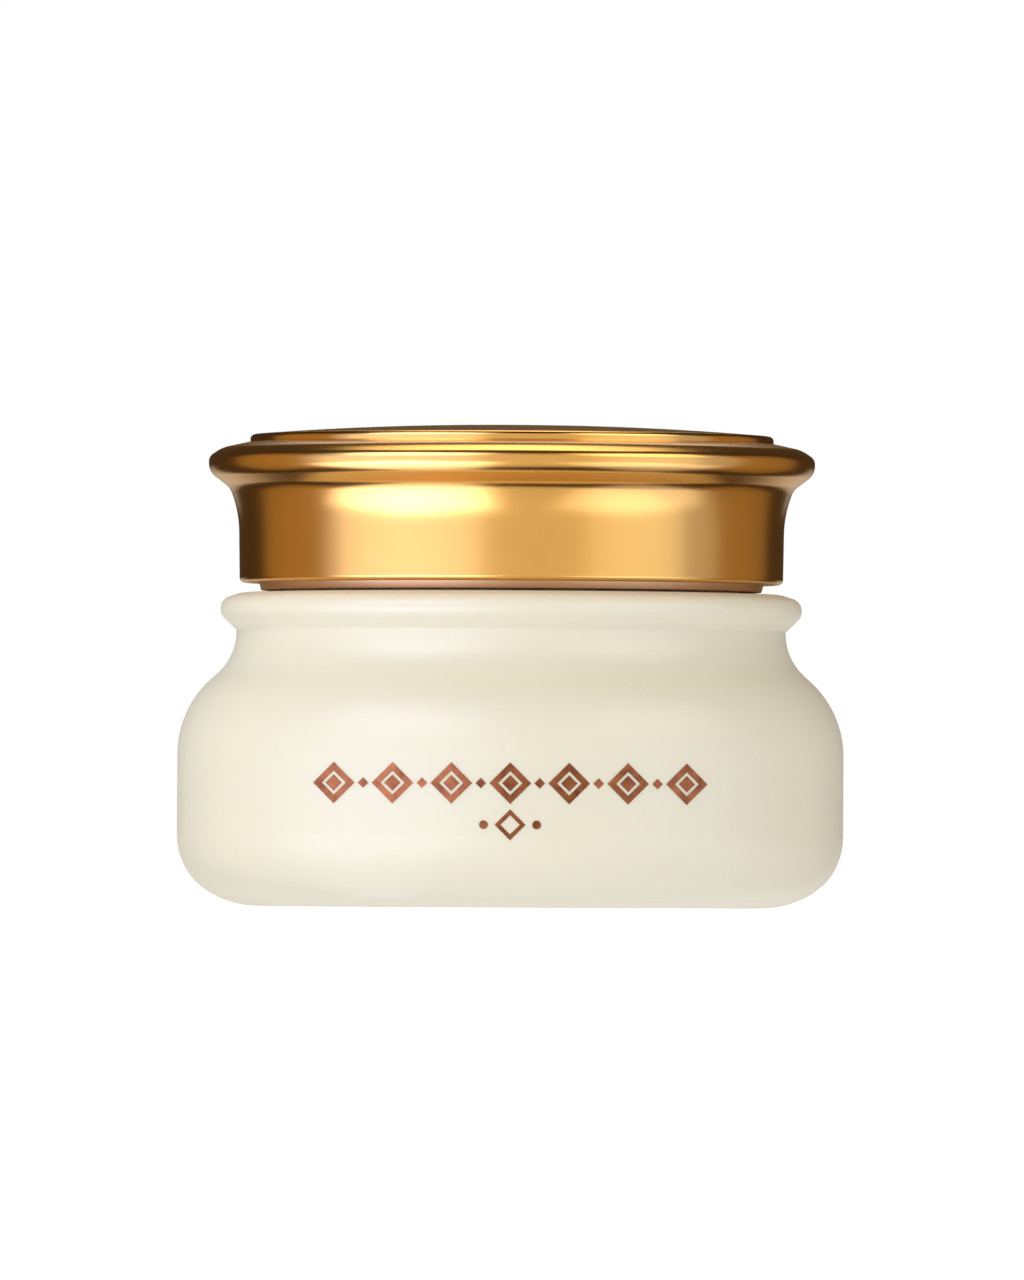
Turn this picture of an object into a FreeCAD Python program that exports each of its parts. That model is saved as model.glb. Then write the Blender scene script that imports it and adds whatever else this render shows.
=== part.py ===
import FreeCAD, Part
import math
import os
import Sketcher

# Cosmetic cream jar: an opal glass jar with a threaded neck, and a flared metal cap built from a shell,
# a domed top plate, a threaded inner cap, a base ring and a two-layer liner. A loose inner lid covers
# the mouth. Millimetres, +Z up, the origin at the centre of the standing face, the front facing -Y.
#
# Nearly every piece is a body of revolution: its outline lies in the XZ plane, with X as the radius and
# Z as the height, and turns about the vertical axis.

SIZES = {
    # glass jar, outside
    "body_radius": 35.0,
    "foot_corner": 28.84,
    "foot_rounding": 9.8,
    "heel_height": 3.14,
    "heel_rounding": 7.1,
    "shoulder_height": 20.72,
    "shoulder_rounding": 10.6,
    "throat_radius": 28.92,
    "throat_height": 26.15,
    "throat_rounding": 5.9,
    "groove_radius": 28.85,
    "groove_height": 29.0,
    "groove_rounding": 0.2,
    "bead_radius": 30.53,
    "bead_lower": 30.62,
    "bead_upper": 32.25,
    "bead_rounding": 1.3,
    "bead_top_radius": 28.3,
    "bead_top_rounding": 3.0,
    "shelf_height": 32.95,
    "neck_radius": 23.9,
    "neck_root_rounding": 0.5,
    "rim_height": 41.9,
    "rim_rounding": 0.8,
    "pushup_radius": 21.5,
    "pushup_depth": 0.9,
    "pushup_slope": 0.9,
    "pushup_rounding": 0.4,
    # glass jar, inside
    "mouth_radius": 20.9,
    "mouth_bottom": 29.8,
    "mouth_rounding": 3.0,
    "cavity_radius": 29.6,
    "cavity_shoulder": 20.0,
    "cavity_shoulder_rounding": 6.0,
    "cavity_floor": 7.6,
    "cavity_heel_rounding": 8.0,
    # closure thread, right-handed, one start
    "thread_lead": 4.23,
    "thread_depth": 1.2,
    "thread_root_half": 0.85,
    "thread_crest_half": 0.35,
    "thread_sink": 0.5,
    "neck_thread_start": 34.95,
    "neck_thread_turns": 1.3,
    "cap_thread_delay": 0.6,
    "cap_thread_turns": 1.1,
    # contents, label and foil
    "cream_level": 27.5,
    "cream_top_radius": 22.9,
    "cream_gap": 0.02,
    "label_radius": 17.0,
    "label_sheet": 0.12,
    "foil_sheet": 0.05,
    "foil_row": 12.9,
    "lozenge_count": 7,
    "lozenge_step": 6.1,
    "lozenge_radius": 2.15,
    "lozenge_inset": 0.9,
    "heart_radius": 0.85,
    "stud_radius": 0.55,
    "foil_second_row": 8.6,
    "second_lozenge_radius": 1.6,
    "second_lozenge_inset": 0.6,
    "second_stud_radius": 0.45,
    "second_stud_step": 2.75,
    "foil_reach": 1.0,
    # inner lid
    "seat_gap": 0.02,
    "lid_top": 42.72,
    "lid_radius": 23.5,
    "lid_thickness": 0.8,
    "lid_plug_radius": 20.78,
    "lid_plug_depth": 2.6,
    "lid_plug_wall": 0.8,
    "lid_floor_drop": 1.7,
    "lid_edge_rounding": 0.3,
    "lid_dish_rounding": 0.5,
    "grip_half_length": 7.5,
    "grip_half_width": 1.1,
    "grip_rounding": 0.9,
    "grip_height": 1.5,
    # liner
    "liner_radius": 24.9,
    "foam_bottom": 42.9,
    "foam_sheet": 1.4,
    # inner cap
    "bore_radius": 25.35,
    "bore_bottom": 35.0,
    "inner_wall": 0.95,
    "inner_top_wall": 1.2,
    "inner_rounding": 0.9,
    "inner_corner_rounding": 0.3,
    "cup_ceiling": 44.32,
    "cap_thread_start": 35.92,
    "rib_count": 24,
    "rib_half_width": 0.5,
    "rib_sink": 0.4,
    "rib_gap": 0.02,
    "rib_height": 8.6,
    "web_count": 8,
    "web_half_width": 0.6,
    "web_height": 1.73,
    "web_start": 9.0,
    "web_end": 21.0,
    # base ring
    "ring_gap": 0.24,
    "ring_inner": 25.4,
    "ring_lip": 26.3,
    "ring_step": 26.5,
    "ring_top": 34.98,
    "ring_rounding": 0.1,
    # cap shell
    "skirt_bottom": 33.98,
    "skirt_bottom_radius": 28.55,
    "skirt_edge_rounding": 0.55,
    "skirt_inner": 27.7,
    "flare_radius": 28.66,
    "flare_height": 41.4,
    "flare_rounding": 12.0,
    "waist_radius": 29.62,
    "waist_height": 43.95,
    "waist_rounding": 2.0,
    "flange_radius": 31.85,
    "flange_lower": 45.64,
    "flange_lower_rounding": 1.8,
    "flange_upper": 47.2,
    "flange_upper_rounding": 0.95,
    "collar_radius": 30.5,
    "collar_height": 48.14,
    "collar_rounding": 3.6,
    "recess_radius": 27.75,
    "recess_lip": 48.74,
    "recess_rounding": 0.15,
    "recess_floor": 48.12,
    "shell_ceiling": 47.25,
    "roll_lower": 44.9,
    "roll_radius": 30.75,
    "roll_height": 46.3,
    "roll_rounding": 0.5,
    # top plate
    "plate_radius": 27.5,
    "adhesive_radius": 25.5,
    "adhesive_sheet": 0.15,
    "plate_edge": 49.53,
    "plate_edge_rounding": 0.5,
    "crown_corner": 13.5,
    "crown_rounding": 300.0,
    "crown_top": 50.6,
}

doc = FreeCAD.newDocument("cream_jar")
sheet = doc.addObject("Spreadsheet::Sheet", "sizes")
for row, (alias, number) in enumerate(SIZES.items(), start=1):
    sheet.set(f"A{row}", alias)
    sheet.set(f"B{row}", str(number))
    sheet.setAlias(f"B{row}", alias)
doc.recompute()


def value(total):
    """The number that a sum of cells and plain numbers comes to, such as "rim_height + seat_gap"."""
    result = 0.0
    sign = 1.0
    for word in total.split():
        if word in ("+", "-"):
            sign = 1.0 if word == "+" else -1.0
        else:
            result += sign * (float(getattr(sheet, word)) if word in SIZES else float(word))
    return result


def bind(target, prop, total):
    """Ties a property to the sheet by a sum of cells and plain numbers."""
    words = [f"sizes.{word}" if word in SIZES else word for word in total.split()]
    target.setExpression(prop, " ".join(words))


def new_body(name):
    """A body whose label becomes the name of its file."""
    body = doc.addObject("PartDesign::Body", name + "_body")
    body.Label = name
    return body


def new_sketch(body, name, plane):
    """An empty sketch on one of the body's own origin planes."""
    sketch = body.newObject("Sketcher::SketchObject", name)
    support = next(o for o in body.Origin.OriginFeatures if o.Role == plane)
    sketch.AttachmentSupport = (support, [""])
    sketch.MapMode = "FlatFace"
    return sketch


class Rules:
    """The constraints of one sketch, gathered so that they are added and solved together."""

    def __init__(self):
        self.made = []
        self.bound = {}

    def add(self, *terms):
        """A plain constraint."""
        self.made.append(Sketcher.Constraint(*terms))

    def measure(self, total, *terms):
        """A constraint whose value is a sum of cells."""
        self.bound[len(self.made)] = total
        self.made.append(Sketcher.Constraint(*terms, value(total)))

    def place(self, geometry, point, across, up):
        """Holds a point at a distance across and up from the origin, each a sum of cells."""
        for kind, axis, total in (("DistanceX", -2, across), ("DistanceY", -1, up)):
            if value(total) == 0.0:
                self.add("PointOnObject", geometry, point, axis)
            else:
                self.measure(total, kind, -1, 1, geometry, point)

    def apply(self, sketch):
        """Adds them to the sketch and ties their values to the sheet."""
        sketch.addConstraint(self.made)
        for index, total in self.bound.items():
            bind(sketch, f"Constraints[{index}]", total)


def rounding(corner, before, after, radius):
    """The start, middle and end of the arc that rounds a corner between two neighbours."""
    back = (before - corner).normalize()
    ahead = (after - corner).normalize()
    half = back.getAngle(ahead) / 2
    middle_line = (back + ahead).normalize()
    reach = radius / math.tan(half)
    middle = corner + middle_line * (radius / math.sin(half) - radius)
    return corner + back * reach, middle, corner + ahead * reach


def outline(body, name, corners, plane="XZ_Plane"):
    """A closed sketch through corners, each (across, up) or (across, up, rounding) in sums of cells."""
    sketch = new_sketch(body, name, plane)
    count = len(corners)
    points = [FreeCAD.Vector(value(corner[0]), value(corner[1]), 0) for corner in corners]
    arcs = {}
    for i, corner in enumerate(corners):
        if len(corner) == 3:
            arcs[i] = rounding(points[i], points[i - 1], points[(i + 1) % count], value(corner[2]))
    lines = []
    for i in range(count):
        after = (i + 1) % count
        start = arcs[i][2] if i in arcs else points[i]
        end = arcs[after][0] if after in arcs else points[after]
        lines.append(sketch.addGeometry(Part.LineSegment(start, end), False))
    rules = Rules()
    for i, corner in enumerate(corners):
        line_in, line_out = lines[i - 1], lines[i]
        if i not in arcs:
            rules.add("Coincident", line_in, 2, line_out, 1)
            rules.place(line_out, 1, corner[0], corner[1])
            continue
        arc = sketch.addGeometry(Part.Arc(*arcs[i]), False)
        drawn_forward = sketch.getPoint(arc, 1).distanceToPoint(arcs[i][0]) < 1e-6
        first, last = (1, 2) if drawn_forward else (2, 1)
        mark = sketch.addGeometry(Part.Point(points[i]), True)
        rules.add("Tangent", line_in, 2, arc, first)
        rules.add("Tangent", arc, last, line_out, 1)
        rules.measure(corner[2], "Radius", arc)
        rules.add("PointOnObject", mark, 1, line_in)
        rules.add("PointOnObject", mark, 1, line_out)
        rules.place(mark, 1, corner[0], corner[1])
    rules.apply(sketch)
    doc.recompute()
    return sketch


def turned(body, name, corners, kind="PartDesign::Revolution"):
    """A solid of revolution about the vertical axis."""
    sketch = outline(body, name + "_outline", corners)
    feature = body.newObject(kind, name)
    feature.Profile = (sketch, [""])
    feature.ReferenceAxis = (sketch, ["V_Axis"])
    feature.Angle = 360.0
    doc.recompute()
    return feature


def hollowed(body, name, corners):
    """A hollow turned out of the body about the vertical axis."""
    before = body.Shape.Volume
    feature = turned(body, name, corners, kind="PartDesign::Groove")
    if body.Shape.Volume >= before:
        raise RuntimeError(f"{name} cut nothing")
    return feature


def threaded(body, name, corners, turns, delay=None):
    """A helical ridge with the closure's lead. A delay, in turns, moves its start round the axis."""
    sketch = outline(body, name + "_outline", corners)
    if delay:
        upright = FreeCAD.Vector(0, 1, 0)
        sketch.AttachmentOffset = FreeCAD.Placement(FreeCAD.Vector(), FreeCAD.Rotation(upright, 1.0))
        sketch.setExpression(".AttachmentOffset.Rotation.Angle", f"sizes.{delay} * 360 deg")
        doc.recompute()
    feature = body.newObject("PartDesign::AdditiveHelix", name)
    feature.Profile = (sketch, [""])
    feature.ReferenceAxis = (sketch, ["V_Axis"])
    feature.Mode = "pitch-turns-angle"
    bind(feature, "Pitch", "thread_lead")
    bind(feature, "Turns", turns)
    feature.LeftHanded = False
    feature.Reversed = False
    doc.recompute()
    return feature


def padded(body, name, corners, base, height):
    """A pad of an outline in the XY plane, from a height above the origin upward."""
    sketch = outline(body, name + "_outline", corners, plane="XY_Plane")
    bind(sketch, ".AttachmentOffset.Base.z", base)
    doc.recompute()
    feature = body.newObject("PartDesign::Pad", name)
    feature.Profile = (sketch, [""])
    bind(feature, "Length", height)
    doc.recompute()
    return feature


def repeated(body, name, feature, count):
    """Copies of a feature spaced evenly about the vertical axis."""
    pattern = body.newObject("PartDesign::PolarPattern", name)
    pattern.Originals = [feature]
    axis = next(o for o in body.Origin.OriginFeatures if o.Role == "Z_Axis")
    pattern.Axis = (axis, [""])
    pattern.Angle = 360.0
    bind(pattern, "Occurrences", count)
    body.Tip = pattern
    doc.recompute()
    return pattern


# ---- glass jar: body, shoulder, bead and threaded neck ----

glass_jar = new_body("glass_jar")
turned(glass_jar, "glass_blank", [
    ("0", "0"),
    ("foot_corner", "0", "foot_rounding"),
    ("body_radius", "heel_height", "heel_rounding"),
    ("body_radius", "shoulder_height", "shoulder_rounding"),
    ("throat_radius", "throat_height", "throat_rounding"),
    ("groove_radius", "groove_height", "groove_rounding"),
    ("bead_radius", "bead_lower", "bead_rounding"),
    ("bead_radius", "bead_upper", "bead_rounding"),
    ("bead_top_radius", "shelf_height", "bead_top_rounding"),
    ("neck_radius", "shelf_height", "neck_root_rounding"),
    ("neck_radius", "rim_height", "rim_rounding"),
    ("0", "rim_height"),
])
hollowed(glass_jar, "cavity", [
    ("0", "cavity_floor"),
    ("cavity_radius", "cavity_floor", "cavity_heel_rounding"),
    ("cavity_radius", "cavity_shoulder", "cavity_shoulder_rounding"),
    ("mouth_radius", "mouth_bottom", "mouth_rounding"),
    ("mouth_radius", "rim_height"),
    ("0", "rim_height"),
])
hollowed(glass_jar, "pushup", [
    ("0", "0"),
    ("pushup_radius + pushup_slope", "0"),
    ("pushup_radius", "pushup_depth", "pushup_rounding"),
    ("0", "pushup_depth"),
])
threaded(glass_jar, "neck_thread", [
    ("neck_radius - thread_sink", "neck_thread_start - thread_root_half"),
    ("neck_radius", "neck_thread_start - thread_root_half"),
    ("neck_radius + thread_depth", "neck_thread_start - thread_crest_half"),
    ("neck_radius + thread_depth", "neck_thread_start + thread_crest_half"),
    ("neck_radius", "neck_thread_start + thread_root_half"),
    ("neck_radius - thread_sink", "neck_thread_start + thread_root_half"),
], "neck_thread_turns")

# ---- cream: fills the cavity up to its level, a hair inside the glass ----

cream_fill = new_body("cream_fill")
turned(cream_fill, "cream_blank", [
    ("0", "cavity_floor + cream_gap"),
    ("cavity_radius - cream_gap", "cavity_floor + cream_gap", "cavity_heel_rounding"),
    ("cavity_radius - cream_gap", "cavity_shoulder", "cavity_shoulder_rounding"),
    ("cream_top_radius", "cream_level"),
    ("0", "cream_level"),
])

# ---- label: a plain disc stuck in the hollow under the jar ----

base_label = new_body("base_label")
turned(base_label, "label_blank", [
    ("0", "pushup_depth - label_sheet"),
    ("label_radius", "pushup_depth - label_sheet"),
    ("label_radius", "pushup_depth"),
    ("0", "pushup_depth"),
])

# ---- inner lid: a dished disc with a plug that drops into the mouth and a bar to lift it by ----

inner_lid = new_body("inner_lid")
turned(inner_lid, "lid_blank", [
    ("0", "lid_top - lid_floor_drop"),
    ("lid_plug_radius - lid_plug_wall", "lid_top - lid_floor_drop", "lid_dish_rounding"),
    ("lid_plug_radius - lid_plug_wall", "lid_top", "lid_edge_rounding"),
    ("lid_radius", "lid_top", "lid_edge_rounding"),
    ("lid_radius", "lid_top - lid_thickness"),
    ("lid_plug_radius", "lid_top - lid_thickness"),
    ("lid_plug_radius", "lid_top - lid_thickness - lid_plug_depth", "lid_edge_rounding"),
    ("lid_plug_radius - lid_plug_wall", "lid_top - lid_thickness - lid_plug_depth", "lid_edge_rounding"),
    ("lid_plug_radius - lid_plug_wall", "lid_top - lid_floor_drop - lid_thickness", "lid_dish_rounding"),
    ("0", "lid_top - lid_floor_drop - lid_thickness"),
])
padded(inner_lid, "lid_grip", [
    ("- grip_half_length", "- grip_half_width", "grip_rounding"),
    ("grip_half_length", "- grip_half_width", "grip_rounding"),
    ("grip_half_length", "grip_half_width", "grip_rounding"),
    ("- grip_half_length", "grip_half_width", "grip_rounding"),
], "lid_top - lid_floor_drop", "grip_height")

# ---- liner: a foam wad faced with film, loose in the cap above the inner lid ----

liner_film = new_body("liner_film")
turned(liner_film, "film_blank", [
    ("0", "lid_top + seat_gap"),
    ("liner_radius", "lid_top + seat_gap"),
    ("liner_radius", "foam_bottom"),
    ("0", "foam_bottom"),
])
liner_foam = new_body("liner_foam")
turned(liner_foam, "foam_blank", [
    ("0", "foam_bottom"),
    ("liner_radius", "foam_bottom"),
    ("liner_radius", "foam_bottom + foam_sheet"),
    ("0", "foam_bottom + foam_sheet"),
])

# ---- inner cap: a threaded cup with ribs that centre it in the shell and webs that carry the shell's top ----

cap_inner = new_body("cap_inner")
turned(cap_inner, "cup_blank", [
    ("0", "cup_ceiling"),
    ("bore_radius", "cup_ceiling", "inner_corner_rounding"),
    ("bore_radius", "bore_bottom"),
    ("bore_radius + inner_wall", "bore_bottom"),
    ("bore_radius + inner_wall", "cup_ceiling + inner_top_wall", "inner_rounding"),
    ("0", "cup_ceiling + inner_top_wall"),
])
threaded(cap_inner, "cap_thread", [
    ("bore_radius + thread_sink", "cap_thread_start - thread_root_half"),
    ("bore_radius + thread_sink", "cap_thread_start + thread_root_half"),
    ("bore_radius", "cap_thread_start + thread_root_half"),
    ("bore_radius - thread_depth", "cap_thread_start + thread_crest_half"),
    ("bore_radius - thread_depth", "cap_thread_start - thread_crest_half"),
    ("bore_radius", "cap_thread_start - thread_root_half"),
], "cap_thread_turns", delay="cap_thread_delay")
rib = padded(cap_inner, "rib", [
    ("bore_radius + rib_sink", "- rib_half_width"),
    ("skirt_inner - rib_gap", "- rib_half_width"),
    ("skirt_inner - rib_gap", "rib_half_width"),
    ("bore_radius + rib_sink", "rib_half_width"),
], "bore_bottom", "rib_height")
repeated(cap_inner, "ribs", rib, "rib_count")
web = padded(cap_inner, "web", [
    ("web_start", "- web_half_width"),
    ("web_end", "- web_half_width"),
    ("web_end", "web_half_width"),
    ("web_start", "web_half_width"),
], "cup_ceiling + inner_top_wall", "web_height")
repeated(cap_inner, "webs", web, "web_count")

# ---- base ring: closes the gap between the inner cap and the shell from below, with a small lip ----

cap_base_ring = new_body("cap_base_ring")
turned(cap_base_ring, "ring_blank", [
    ("ring_inner", "shelf_height + ring_gap"),
    ("ring_lip", "shelf_height + ring_gap", "ring_rounding"),
    ("ring_step", "skirt_bottom"),
    ("skirt_inner - rib_gap", "skirt_bottom"),
    ("skirt_inner - rib_gap", "ring_top"),
    ("ring_inner", "ring_top"),
])

# ---- cap shell: a drawn skirt that flares into a rolled flange, with a recess in its top ----

cap_shell = new_body("cap_shell")
turned(cap_shell, "shell_blank", [
    ("0", "shell_ceiling"),
    ("roll_radius", "shell_ceiling", "roll_rounding"),
    ("roll_radius", "roll_height", "roll_rounding"),
    ("skirt_inner", "roll_lower", "inner_rounding"),
    ("skirt_inner", "skirt_bottom"),
    ("skirt_bottom_radius", "skirt_bottom", "skirt_edge_rounding"),
    ("flare_radius", "flare_height", "flare_rounding"),
    ("waist_radius", "waist_height", "waist_rounding"),
    ("flange_radius", "flange_lower", "flange_lower_rounding"),
    ("flange_radius", "flange_upper", "flange_upper_rounding"),
    ("collar_radius", "collar_height", "collar_rounding"),
    ("recess_radius", "recess_lip", "recess_rounding"),
    ("recess_radius", "recess_floor"),
    ("0", "recess_floor"),
])

# ---- adhesive pad and top plate: a domed disc stuck in the shell's recess ----

plate_adhesive_pad = new_body("plate_adhesive_pad")
turned(plate_adhesive_pad, "adhesive_blank", [
    ("0", "recess_floor"),
    ("adhesive_radius", "recess_floor"),
    ("adhesive_radius", "recess_floor + adhesive_sheet"),
    ("0", "recess_floor + adhesive_sheet"),
])
cap_top_plate = new_body("cap_top_plate")
turned(cap_top_plate, "plate_blank", [
    ("0", "recess_floor + adhesive_sheet"),
    ("plate_radius", "recess_floor + adhesive_sheet"),
    ("plate_radius", "plate_edge", "plate_edge_rounding"),
    ("crown_corner", "crown_top", "crown_rounding"),
    ("0", "crown_top"),
])


# ---- foil: a row of lozenge frames and studs on the front, with a small motif under it ----

def named(kind, name):
    """A primitive or boolean of the document."""
    return doc.addObject("Part::" + kind, name)


def rod(name, radius, across, up, sides=None):
    """A round or many-sided rod that runs forward out of the jar's axis, so that its end faces the front."""
    made = named("Prism" if sides else "Cylinder", name)
    if sides:
        made.Polygon = sides
    bind(made, "Circumradius" if sides else "Radius", radius)
    bind(made, "Height", "body_radius + foil_reach")
    forward = FreeCAD.Rotation(FreeCAD.Vector(1, 0, 0), 90)
    made.Placement = FreeCAD.Placement(FreeCAD.Vector(across, 0, value(up)), forward)
    bind(made, ".Placement.Base.z", up)
    return made


def frame(name, radius, inset, across, up):
    """A lozenge frame: a four-sided rod with a smaller one cut out of it."""
    cut = named("Cut", name)
    cut.Base = rod(name + "_outer", radius, across, up, sides=4)
    cut.Tool = rod(name + "_inner", f"{radius} - {inset}", across, up, sides=4)
    return cut


motifs = []
middle = (int(value("lozenge_count")) - 1) / 2
for i in range(int(value("lozenge_count"))):
    across = (i - middle) * value("lozenge_step")
    motifs.append(frame(f"lozenge_{i}", "lozenge_radius", "lozenge_inset", across, "foil_row"))
    motifs.append(rod(f"heart_{i}", "heart_radius", across, "foil_row", sides=4))
    if i < 2 * middle:
        between = across + value("lozenge_step") / 2
        motifs.append(rod(f"stud_{i}", "stud_radius", between, "foil_row", sides=4))
second = ("second_lozenge_radius", "second_lozenge_inset", 0.0, "foil_second_row")
motifs.append(frame("second_lozenge", *second))
for side in (-1, 1):
    across = side * value("second_stud_step")
    motifs.append(rod(f"second_stud_{side + 1}", "second_stud_radius", across, "foil_second_row"))

foil_skin = named("Cut", "foil_skin")
foil_outside = named("Cylinder", "foil_outside")
foil_inside = named("Cylinder", "foil_inside")
bind(foil_outside, "Radius", "body_radius + foil_sheet")
bind(foil_inside, "Radius", "body_radius")
for cylinder in (foil_outside, foil_inside):
    bind(cylinder, "Height", "shoulder_height")
foil_skin.Base = foil_outside
foil_skin.Tool = foil_inside
foil_motifs = named("MultiFuse", "foil_motifs")
foil_motifs.Shapes = motifs
foil_ornament = named("MultiCommon", "foil_blank")
foil_ornament.Shapes = [foil_skin, foil_motifs]
foil_ornament.Label = "foil_ornament"
doc.recompute()

# ---- check every object, then write one file for each sub-part ----

for made in doc.Objects:
    if "Invalid" in made.State or "Error" in made.State:
        raise RuntimeError(f"{made.Label} did not recompute: {made.State}")

SUB_PARTS = (
    glass_jar,
    foil_ornament,
    base_label,
    cream_fill,
    inner_lid,
    liner_film,
    liner_foam,
    cap_inner,
    cap_base_ring,
    cap_shell,
    plate_adhesive_pad,
    cap_top_plate,
)
for sub_part in SUB_PARTS:
    if sub_part.Shape.isNull() or not sub_part.Shape.isValid():
        raise RuntimeError(f"{sub_part.Label} has no valid shape")

os.makedirs("parts", exist_ok=True)
for sub_part in SUB_PARTS:
    sub_part.Shape.exportStep(f"parts/{sub_part.Label}.step")
    print(f"{sub_part.Label}: {len(sub_part.Shape.Solids)} solids, {sub_part.Shape.Volume:.1f} mm3")
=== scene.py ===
import math

import bmesh
import bpy
from mathutils import Matrix, Vector


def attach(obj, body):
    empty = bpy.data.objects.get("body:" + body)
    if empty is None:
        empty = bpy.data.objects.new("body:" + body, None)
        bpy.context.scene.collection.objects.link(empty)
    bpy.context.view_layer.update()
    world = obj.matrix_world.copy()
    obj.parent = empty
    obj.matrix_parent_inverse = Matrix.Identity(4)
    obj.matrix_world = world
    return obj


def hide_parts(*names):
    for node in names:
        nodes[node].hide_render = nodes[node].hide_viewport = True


# A cosmetic cream jar: ivory opal glass with a flared gold cap, in studio light. Metres, +Z up, front -Y.

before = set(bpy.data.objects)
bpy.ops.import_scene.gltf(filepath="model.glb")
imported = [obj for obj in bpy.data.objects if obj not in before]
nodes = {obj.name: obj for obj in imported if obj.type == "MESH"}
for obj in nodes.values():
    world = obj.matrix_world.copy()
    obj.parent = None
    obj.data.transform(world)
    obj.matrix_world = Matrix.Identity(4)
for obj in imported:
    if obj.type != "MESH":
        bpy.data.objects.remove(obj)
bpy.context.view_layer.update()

# ---- shading helpers ----


def new_material(name):
    """An empty node material with its output, its node tree and a Principled shader linked to it."""
    material = bpy.data.materials.new(name)
    material.use_nodes = True
    tree = material.node_tree
    tree.nodes.clear()
    output = tree.nodes.new("ShaderNodeOutputMaterial")
    shader = tree.nodes.new("ShaderNodeBsdfPrincipled")
    tree.links.new(shader.outputs["BSDF"], output.inputs["Surface"])
    return material, tree, shader


def noise(tree, scale, detail=2.0, roughness=0.5):
    """Noise over the object's own coordinates: scale is in features per metre."""
    place = tree.nodes.new("ShaderNodeTexCoord")
    texture = tree.nodes.new("ShaderNodeTexNoise")
    texture.inputs["Scale"].default_value = scale
    texture.inputs["Detail"].default_value = detail
    texture.inputs["Roughness"].default_value = roughness
    tree.links.new(place.outputs["Object"], texture.inputs["Vector"])
    return texture.outputs["Fac"]


def spread(tree, value, low, high, low_at=0.0):
    """Maps a value from low_at to 1 onto low to high."""
    node = tree.nodes.new("ShaderNodeMapRange")
    node.inputs["From Min"].default_value = low_at
    node.inputs["To Min"].default_value = low
    node.inputs["To Max"].default_value = high
    tree.links.new(value, node.inputs["Value"])
    return node.outputs["Result"]


def between(tree, value, first, second):
    """A colour that runs from first to second as the value goes from 0.3 to 0.7."""
    ramp = tree.nodes.new("ShaderNodeValToRGB")
    ramp.color_ramp.elements[0].position = 0.3
    ramp.color_ramp.elements[0].color = (*first, 1.0)
    ramp.color_ramp.elements[1].position = 0.7
    ramp.color_ramp.elements[1].color = (*second, 1.0)
    tree.links.new(value, ramp.inputs["Fac"])
    return ramp.outputs["Color"]


def bump(tree, shader, height, distance):
    """Fine relief in the surface's normal, of a distance in metres."""
    node = tree.nodes.new("ShaderNodeBump")
    node.inputs["Distance"].default_value = distance
    tree.links.new(height, node.inputs["Height"])
    tree.links.new(node.outputs["Normal"], shader.inputs["Normal"])


def dress(node, material):
    """Gives a CAD node one material in every slot."""
    for slot in nodes[node].material_slots:
        slot.material = material


def add_piece(name, data):
    """Puts a mesh, a light or a camera into the scene as an object."""
    piece = bpy.data.objects.new(name, data)
    bpy.context.scene.collection.objects.link(piece)
    return piece


# ---- materials ----


def gold(name, bright, deep, roughness):
    """Anodised and lacquered aluminium: a warm gold whose tone and gloss drift a little."""
    material, tree, shader = new_material(name)
    unevenness = 0.02
    grain_depth = 0.0000002
    drift = noise(tree, 60.0, detail=3.0)
    tree.links.new(between(tree, drift, deep, bright), shader.inputs["Base Color"])
    shader.inputs["Metallic"].default_value = 1.0
    grain = noise(tree, 900.0, detail=4.0, roughness=0.6)
    gloss = spread(tree, grain, roughness - unevenness, roughness + unevenness)
    tree.links.new(gloss, shader.inputs["Roughness"])
    shader.inputs["Coat Weight"].default_value = 0.05
    shader.inputs["Coat Roughness"].default_value = 0.1
    bump(tree, shader, grain, grain_depth)
    return material


def opal_glass():
    """Ivory opal glass under a satin lacquer, with a faint orange peel."""
    material, tree, shader = new_material("opal_glass")
    drift = noise(tree, 25.0, detail=2.0)
    ivory = (0.9, 0.87, 0.77)
    warm = (0.895, 0.862, 0.758)
    peel_depth = 0.000002
    tree.links.new(between(tree, drift, warm, ivory), shader.inputs["Base Color"])
    peel = noise(tree, 420.0, detail=2.0)
    tree.links.new(spread(tree, peel, 0.36, 0.42), shader.inputs["Roughness"])
    shader.inputs["IOR"].default_value = 1.5
    shader.inputs["Specular IOR Level"].default_value = 0.3
    shader.inputs["Subsurface Weight"].default_value = 0.2
    shader.inputs["Subsurface Radius"].default_value = (0.003, 0.0024, 0.0016)
    shader.inputs["Subsurface Scale"].default_value = 1.0
    shader.inputs["Coat Weight"].default_value = 0.12
    shader.inputs["Coat Roughness"].default_value = 0.2
    bump(tree, shader, peel, peel_depth)
    return material


def copper_foil():
    """Hot-stamped copper foil with the small unevenness of its bond to the glass."""
    material, tree, shader = new_material("copper_foil")
    dark_copper = (0.15, 0.045, 0.016)
    light_copper = (0.36, 0.125, 0.045)
    wrinkle_depth = 0.00001
    drift = noise(tree, 700.0, detail=4.0, roughness=0.65)
    tree.links.new(between(tree, drift, dark_copper, light_copper), shader.inputs["Base Color"])
    shader.inputs["Metallic"].default_value = 0.85
    tree.links.new(spread(tree, drift, 0.26, 0.42), shader.inputs["Roughness"])
    bump(tree, shader, drift, wrinkle_depth)
    return material


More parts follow.
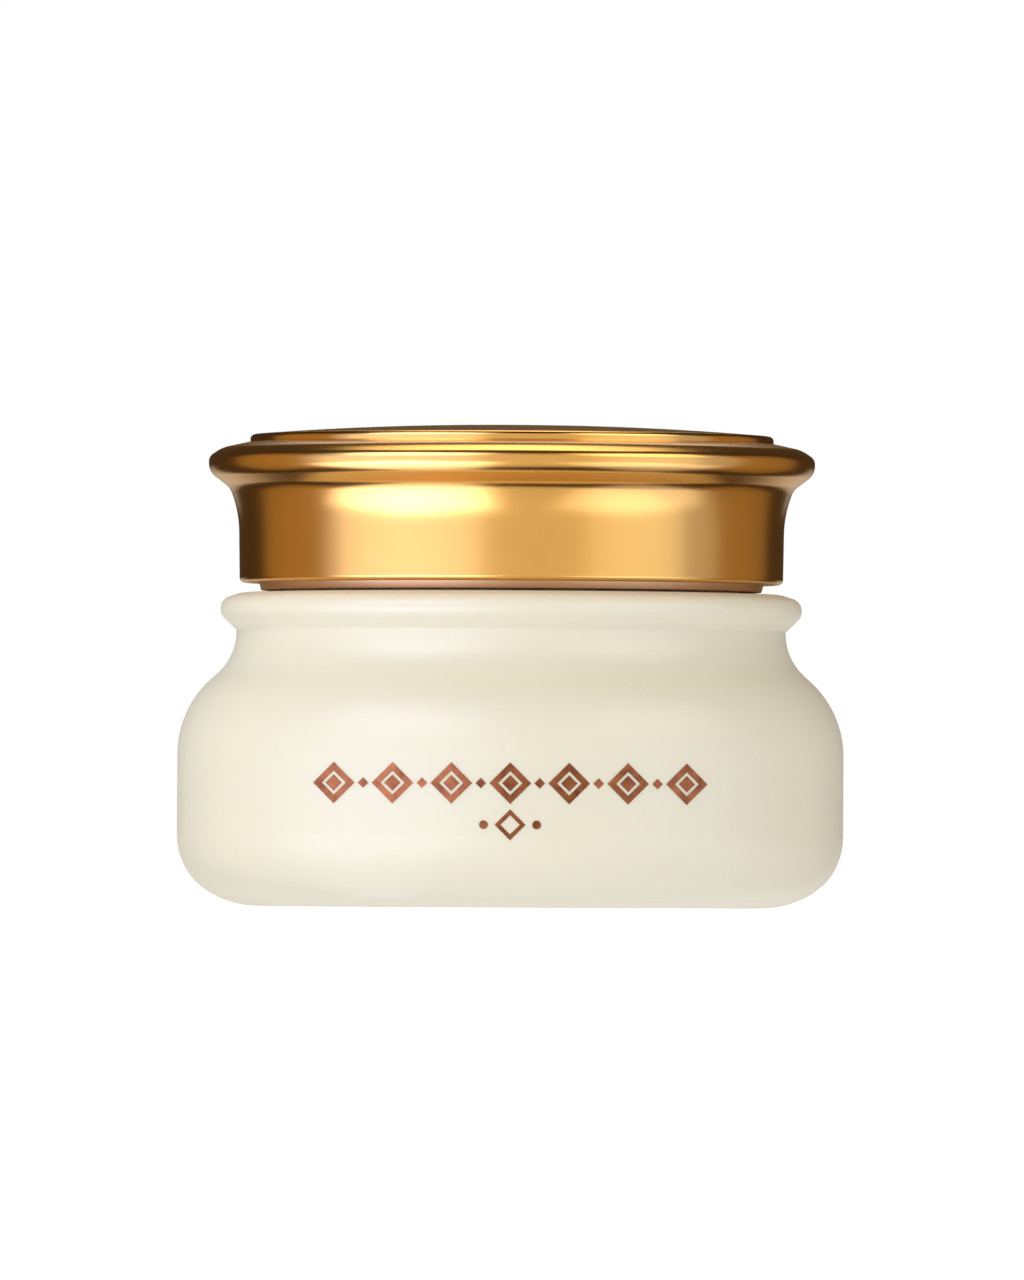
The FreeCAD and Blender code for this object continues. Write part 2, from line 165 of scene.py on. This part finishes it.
def plastic(name, colour, shade, roughness, grain_scale=1500.0, grain_depth=0.000006):
    """Moulded plastic with a fine spark-eroded grain; foam, film, paper and cream differ in grain alone."""
    material, tree, shader = new_material(name)
    unevenness = 0.05
    drift = noise(tree, 90.0)
    tree.links.new(between(tree, drift, shade, colour), shader.inputs["Base Color"])
    pits = noise(tree, grain_scale, detail=3.0)
    gloss = spread(tree, pits, roughness - unevenness, roughness + unevenness)
    tree.links.new(gloss, shader.inputs["Roughness"])
    shader.inputs["Subsurface Weight"].default_value = 0.1
    shader.inputs["Subsurface Radius"].default_value = (0.001, 0.001, 0.001)
    shader.inputs["Subsurface Scale"].default_value = 1.0
    bump(tree, shader, pits, grain_depth)
    return material


dress("glass_jar", opal_glass())
dress("foil_ornament", copper_foil())
dress("cap_base_ring", gold("gold_ring", (0.72, 0.45, 0.24), (0.68, 0.42, 0.22), 0.42))
dress("inner_lid", plastic("lid_plastic", (0.86, 0.86, 0.83), (0.83, 0.83, 0.8), 0.3))
dress("cap_inner", plastic("cap_plastic", (0.85, 0.84, 0.8), (0.82, 0.81, 0.77), 0.42))
dress("liner_film", plastic("liner_film", (0.82, 0.84, 0.84), (0.79, 0.81, 0.81), 0.16, 300.0, 0.00002))
dress("liner_foam", plastic("liner_foam", (0.87, 0.87, 0.84), (0.8, 0.8, 0.77), 0.85, 2600.0, 0.00008))
dress("plate_adhesive_pad", plastic("adhesive", (0.7, 0.69, 0.62), (0.64, 0.63, 0.57), 0.6))
dress("base_label", plastic("label_paper", (0.86, 0.84, 0.78), (0.83, 0.81, 0.75), 0.7, 3000.0, 0.00001))

# ---- gold shell and top plate: turned afresh in even rows, so that reflections run smoothly ----


def rounded(corners):
    """The outline through corners of (radius, height, rounding), with every rounding drawn as an arc."""
    fewest_steps = 12
    finest_turn = math.radians(3)
    points = []
    for i, (radius, height, rounding) in enumerate(corners):
        corner = Vector((radius, height))
        if rounding == 0:
            points.append(corner)
            continue
        back = (Vector(corners[i - 1][:2]) - corner).normalized()
        ahead = (Vector(corners[i + 1][:2]) - corner).normalized()
        half = back.angle(ahead) / 2
        centre = corner + (back + ahead).normalized() * rounding / math.sin(half)
        start = corner + back * rounding / math.tan(half) - centre
        end = corner + ahead * rounding / math.tan(half) - centre
        first = math.atan2(start.y, start.x)
        sweep = (math.atan2(end.y, end.x) - first + math.pi) % (2 * math.pi) - math.pi
        steps = max(fewest_steps, math.ceil(abs(sweep) / finest_turn))
        for step in range(steps + 1):
            angle = first + sweep * step / steps
            points.append(centre + rounding * Vector((math.cos(angle), math.sin(angle))))
    return points


def ring(mesh, radius, height_at, count):
    """A closed ring of vertices whose height is a function of the angle."""
    turns = [2 * math.pi * i / count for i in range(count)]
    return [mesh.verts.new((radius * math.cos(a), radius * math.sin(a), height_at(a))) for a in turns]


def turned(name, corners, node, material):
    """A solid of revolution that stands for a CAD node of the cap, from corners in millimetres."""
    count = 288
    millimetres_per_metre = 1000
    on_axis = 1e-6
    sharp = math.radians(25)
    mesh = bmesh.new()
    rows = []
    for place in rounded(corners):
        point = place / millimetres_per_metre
        if point.x < on_axis:
            rows.append([mesh.verts.new((0.0, 0.0, point.y))] * count)
        else:
            rows.append(ring(mesh, point.x, lambda a, z=point.y: z, count))
    for lower, upper in zip(rows, rows[1:]):
        for i in range(count):
            j = (i + 1) % count
            without_repeats = dict.fromkeys((lower[i], lower[j], upper[j], upper[i]))
            mesh.faces.new(without_repeats).smooth = True
    data = bpy.data.meshes.new(name)
    mesh.to_mesh(data)
    mesh.free()
    data.set_sharp_from_angle(angle=sharp)
    data.materials.append(material)
    piece = add_piece(name, data)
    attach(piece, "cap")
    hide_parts(node)


bright_gold = (0.81, 0.45, 0.12)
deep_gold = (0.8, 0.44, 0.112)

shell_outline = [
    # underside of the recess, and the inside of the rolled flange
    (0.0, 47.25, 0),
    (30.75, 47.25, 0.5),
    (30.75, 46.3, 0.5),
    # inside and rounded bottom edge of the skirt
    (27.7, 44.9, 0.9),
    (27.7, 33.98, 0),
    (28.55, 33.98, 0.55),
    # skirt, flare and waist
    (28.66, 41.4, 12.0),
    (29.62, 43.95, 2.0),
    # flange and the collar above it
    (31.85, 45.64, 1.8),
    (31.85, 47.2, 0.95),
    (30.5, 48.14, 3.6),
    # lip and floor of the recess
    (27.75, 48.74, 0.15),
    (27.75, 48.12, 0),
    (0.0, 48.12, 0),
]
shell_gold = gold("gold_shell", bright_gold, deep_gold, 0.22)
turned("gold_cap_shell", shell_outline, "cap_shell", shell_gold)

plate_outline = [
    # flat underside, rounded edge and domed top
    (0.0, 48.27, 0),
    (27.5, 48.27, 0),
    (27.5, 49.53, 0.5),
    (13.5, 50.6, 300.0),
    (0.0, 50.6, 0),
]
plate_gold = gold("gold_plate", bright_gold, deep_gold, 0.17)
turned("gold_top_plate", plate_outline, "cap_top_plate", plate_gold)

# ---- cream ----


def swirl_height(radius, angle, rim, level):
    """Height of the cream's top: a spiral furrow that fades out towards the rim."""
    turn_width = 0.0058
    depth = 0.0013
    fading_part = 0.3
    furrow = 0.5 - 0.5 * math.cos(angle + 2 * math.pi * radius / turn_width)
    fade = min(1.0, (rim - radius) / (fading_part * rim))
    fade = fade * fade * (3 - 2 * fade)
    return level - depth * furrow * fade


def make_cream():
    """Cream that fills its CAD solid's space, with the swirl that a filling nozzle leaves on top."""
    count = 128
    top_rows = 56
    gap = 0.00004
    dimple = 0.0002
    widths = {}
    for vertex in nodes["cream_fill"].data.vertices:
        height = round(vertex.co.z, 5)
        widths[height] = max(widths.get(height, 0.0), vertex.co.xy.length)
    heights = sorted(widths)
    level = heights[-1]
    rim = widths[level] - gap
    mesh = bmesh.new()
    rows = [ring(mesh, widths[height] - gap, lambda a, z=height: z, count) for height in heights]
    for row in range(1, top_rows):
        radius = rim * (1 - row / top_rows)
        rows.append(ring(mesh, radius, lambda a, r=radius: swirl_height(r, a, rim, level), count))
    for lower, upper in zip(rows, rows[1:]):
        for i in range(count):
            j = (i + 1) % count
            mesh.faces.new((lower[i], lower[j], upper[j], upper[i]))
    mesh.faces.new(reversed(rows[0]))
    tip = mesh.verts.new((0.0, 0.0, level - dimple))
    for i in range(count):
        mesh.faces.new((rows[-1][i], rows[-1][(i + 1) % count], tip))
    for face in mesh.faces:
        face.smooth = len(face.verts) <= 4
    data = bpy.data.meshes.new("cream_swirl")
    mesh.to_mesh(data)
    mesh.free()
    cream = add_piece("cream_swirl", data)
    data.materials.append(plastic("cream", (0.93, 0.9, 0.83), (0.91, 0.88, 0.8), 0.3, 600.0, 0.00003))
    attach(cream, "jar")
    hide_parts("cream_fill")


make_cream()

# ---- studio ----


def by_ray(tree, camera, diffuse, glossy):
    """Shader that differs for the camera's rays, for diffuse light and for mirror-like reflections."""
    path = tree.nodes.new("ShaderNodeLightPath")
    soft = tree.nodes.new("ShaderNodeMixShader")
    tree.links.new(path.outputs["Is Diffuse Ray"], soft.inputs["Fac"])
    tree.links.new(glossy, soft.inputs[1])
    tree.links.new(diffuse, soft.inputs[2])
    mix = tree.nodes.new("ShaderNodeMixShader")
    tree.links.new(path.outputs["Is Camera Ray"], mix.inputs["Fac"])
    tree.links.new(soft.outputs["Shader"], mix.inputs[1])
    tree.links.new(camera, mix.inputs[2])
    return mix.outputs["Shader"]


def glow(tree, kind, colour, strength):
    """An even light: kind is ShaderNodeBackground or ShaderNodeEmission."""
    node = tree.nodes.new(kind)
    node.inputs["Color"].default_value = (*colour, 1.0)
    node.inputs["Strength"].default_value = strength
    return node


def make_world():
    """White to the camera, a soft tent to matt surfaces and a dim warm room to mirror-like ones."""
    world = bpy.data.worlds.new("studio")
    bpy.context.scene.world = world
    world.use_nodes = True
    world.cycles.sampling_method = "NONE"
    tree = world.node_tree
    tree.nodes.clear()
    output = tree.nodes.new("ShaderNodeOutputWorld")
    white = glow(tree, "ShaderNodeBackground", (1.0, 1.0, 1.0), 1.0)
    tent = glow(tree, "ShaderNodeBackground", (1.0, 1.0, 1.0), 1.0)
    aim = tree.nodes.new("ShaderNodeTexCoord")
    split = tree.nodes.new("ShaderNodeSeparateXYZ")
    tree.links.new(aim.outputs["Generated"], split.inputs[0])
    side = spread(tree, split.outputs["X"], 0.0, 1.0, low_at=-1.0)
    left_of_tent = (0.84, 0.83, 0.78)
    right_of_tent = (0.56, 0.51, 0.42)
    tree.links.new(between(tree, side, left_of_tent, right_of_tent), tent.inputs["Color"])
    room = glow(tree, "ShaderNodeBackground", (1.0, 0.6, 0.28), 0.055)
    mixed = by_ray(tree, white.outputs[0], tent.outputs[0], room.outputs[0])
    tree.links.new(mixed, output.inputs["Surface"])


def make_floor():
    """A wide pale floor that reads white, with a faint shadow under the jar."""
    mesh = bpy.data.meshes.new("floor")
    half = 3.0
    drop = 0.00005
    corners = [(-half, -half, 0), (half, -half, 0), (half, half, 0), (-half, half, 0)]
    mesh.from_pydata(corners, [], [(0, 1, 2, 3)])
    floor = add_piece("floor", mesh)
    material, tree, shader = new_material("floor_white")
    material.cycles.emission_sampling = "NONE"
    shader.inputs["Base Color"].default_value = (0.9, 0.9, 0.9, 1.0)
    shader.inputs["Roughness"].default_value = 0.9
    shader.inputs["Specular IOR Level"].default_value = 0.0
    lit = glow(tree, "ShaderNodeEmission", (1.0, 1.0, 1.0), 0.8)
    add = tree.nodes.new("ShaderNodeAddShader")
    tree.links.new(shader.outputs["BSDF"], add.inputs[0])
    tree.links.new(lit.outputs["Emission"], add.inputs[1])
    sweep = glow(tree, "ShaderNodeEmission", (1.0, 0.98, 0.93), 0.93)
    clear = tree.nodes.new("ShaderNodeBsdfTransparent")
    output = next(n for n in tree.nodes if n.type == "OUTPUT_MATERIAL")
    mixed = by_ray(tree, add.outputs["Shader"], sweep.outputs["Emission"], clear.outputs["BSDF"])
    tree.links.new(mixed, output.inputs["Surface"])
    mesh.materials.append(material)
    floor.location.z = -drop


def panel(name, azimuth, elevation, distance, width, height, radiance, colour):
    """A flat light that faces the jar: azimuth in degrees from the front, positive to the right."""
    turn = math.radians(azimuth)
    rise = math.radians(elevation)
    middle = Vector((0.0, 0.0, 0.03))
    flat = Vector((math.sin(turn), -math.cos(turn), 0.0))
    away = flat * math.cos(rise) + Vector((0.0, 0.0, math.sin(rise)))
    return light(name, middle + away * distance, -away, width, height, radiance, colour)


def light(name, place, facing, width, height, radiance, colour):
    """A rectangular light of an even radiance, unseen by the camera."""
    data = bpy.data.lights.new(name, "AREA")
    data.shape = "RECTANGLE"
    data.size = width
    data.size_y = height
    data.energy = radiance * math.pi * width * height
    data.color = colour
    lamp = add_piece(name, data)
    lamp.location = place
    lamp.rotation_euler = Vector(facing).to_track_quat("-Z", "Y").to_euler()
    lamp.visible_camera = False
    return lamp


def soften(lamp, hold):
    """Makes a light fade towards its edges, as a softbox does.

    It is nearly full as far from its middle as hold, which is a part of its width and height.
    """
    lamp.data.use_nodes = True
    tree = lamp.data.node_tree
    across = tree.nodes.new("ShaderNodeNewGeometry")
    split = tree.nodes.new("ShaderNodeSeparateXYZ")
    tree.links.new(across.outputs["Parametric"], split.inputs[0])
    product = tree.nodes.new("ShaderNodeMath")
    product.operation = "MULTIPLY"
    shoulder = 0.9
    for index, axis in enumerate("XY"):
        curve = tree.nodes.new("ShaderNodeFloatCurve")
        points = curve.mapping.curves[0].points
        points[0].location = (0.0, 0.0)
        points[1].location = (1.0, 0.0)
        points.new(0.5 - hold, shoulder)
        points.new(0.5 + hold, shoulder)
        curve.mapping.update()
        tree.links.new(split.outputs[axis], curve.inputs["Value"])
        tree.links.new(curve.outputs[0], product.inputs[index])
    tree.links.new(product.outputs[0], tree.nodes["Emission"].inputs["Strength"])


def make_lights():
    """Softboxes, amber sides and floor cards that the gold mirrors, and soft lights for the glass body.

    A panel's numbers are azimuth, elevation, distance, width, height and radiance; a light's are its place,
    the way it faces, width, height and radiance. Each one for the gold has its hold, for soften, beside it.
    """
    cool = (0.96, 1.0, 1.1)
    cold = (0.93, 1.0, 1.5)
    warm = (1.0, 0.95, 0.84)
    up = (0.0, 0.0, 1.0)
    for_gold = {
        panel("front", 0, -6, 0.4, 3.6, 0.9, 1.0, (0.82, 0.79, 0.74)): 0.25,
        panel("key", -48, 2, 0.8, 1.25, 1.5, 1.0, (0.72, 0.93, 1.85)): 0.15,
        panel("fill", 64, 2, 0.8, 1.1, 1.5, 1.0, (0.4, 0.54, 0.92)): 0.15,
        panel("key_upper", -42, 36, 0.9, 0.85, 0.55, 3.9, cold): 0.2,
        panel("fill_upper", 56, 34, 0.9, 0.8, 0.55, 2.6, warm): 0.2,
        panel("behind", 180, 72, 1.0, 0.8, 0.6, 3.0, warm): 0.15,
        panel("behind_low", 180, 28, 1.0, 0.3, 0.36, 1.4, warm): 0.15,
        panel("side_left", -100, -4, 0.9, 1.0, 1.4, 1.0, (0.4, 0.26, 0.1)): 0.2,
        panel("side_right", 106, -4, 0.9, 1.1, 1.4, 1.0, (0.36, 0.25, 0.11)): 0.15,
        panel("back", 180, -25, 0.9, 0.8, 0.8, 0.8, warm): 0.2,
        light("card_left", (-0.078, -0.09, 0.001), up, 0.14, 0.13, 3.6, cold): 0.15,
        light("card_right", (0.09, -0.078, 0.001), up, 0.12, 0.12, 1.25, cold): 0.15,
    }
    for lamp, hold in for_gold.items():
        soften(lamp, hold)
        lamp.visible_diffuse = False
    for_body = [
        panel("body_key", -30, 25, 1.0, 0.8, 0.8, 1.0, warm),
        panel("back_left", -140, 45, 1.0, 0.6, 0.6, 0.6, cool),
        panel("back_right", 140, 45, 1.0, 0.6, 0.6, 0.6, warm),
    ]
    for lamp in for_body:
        lamp.visible_glossy = False


def make_camera():
    """A long lens far in front, near the level of the jar's base, so there is hardly any perspective."""
    distance = 2.1
    eye_height = 0.004
    aim = Vector((0.0001, 0.0, 0.0281))
    field = 0.1345
    roll = math.radians(0.3)
    data = bpy.data.cameras.new("camera")
    data.sensor_width = 36.0
    data.lens = data.sensor_width * distance / field
    data.clip_end = 20.0
    camera = add_piece("camera", data)
    place = Vector((aim.x, -distance, eye_height))
    turn = (aim - place).to_track_quat("-Z", "Y").to_matrix().to_4x4()
    camera.matrix_world = Matrix.Translation(place) @ turn @ Matrix.Rotation(roll, 4, "Z")
    bpy.context.scene.camera = camera


make_world()
make_floor()
make_lights()
make_camera()
bpy.context.scene.view_settings.view_transform = "Standard"
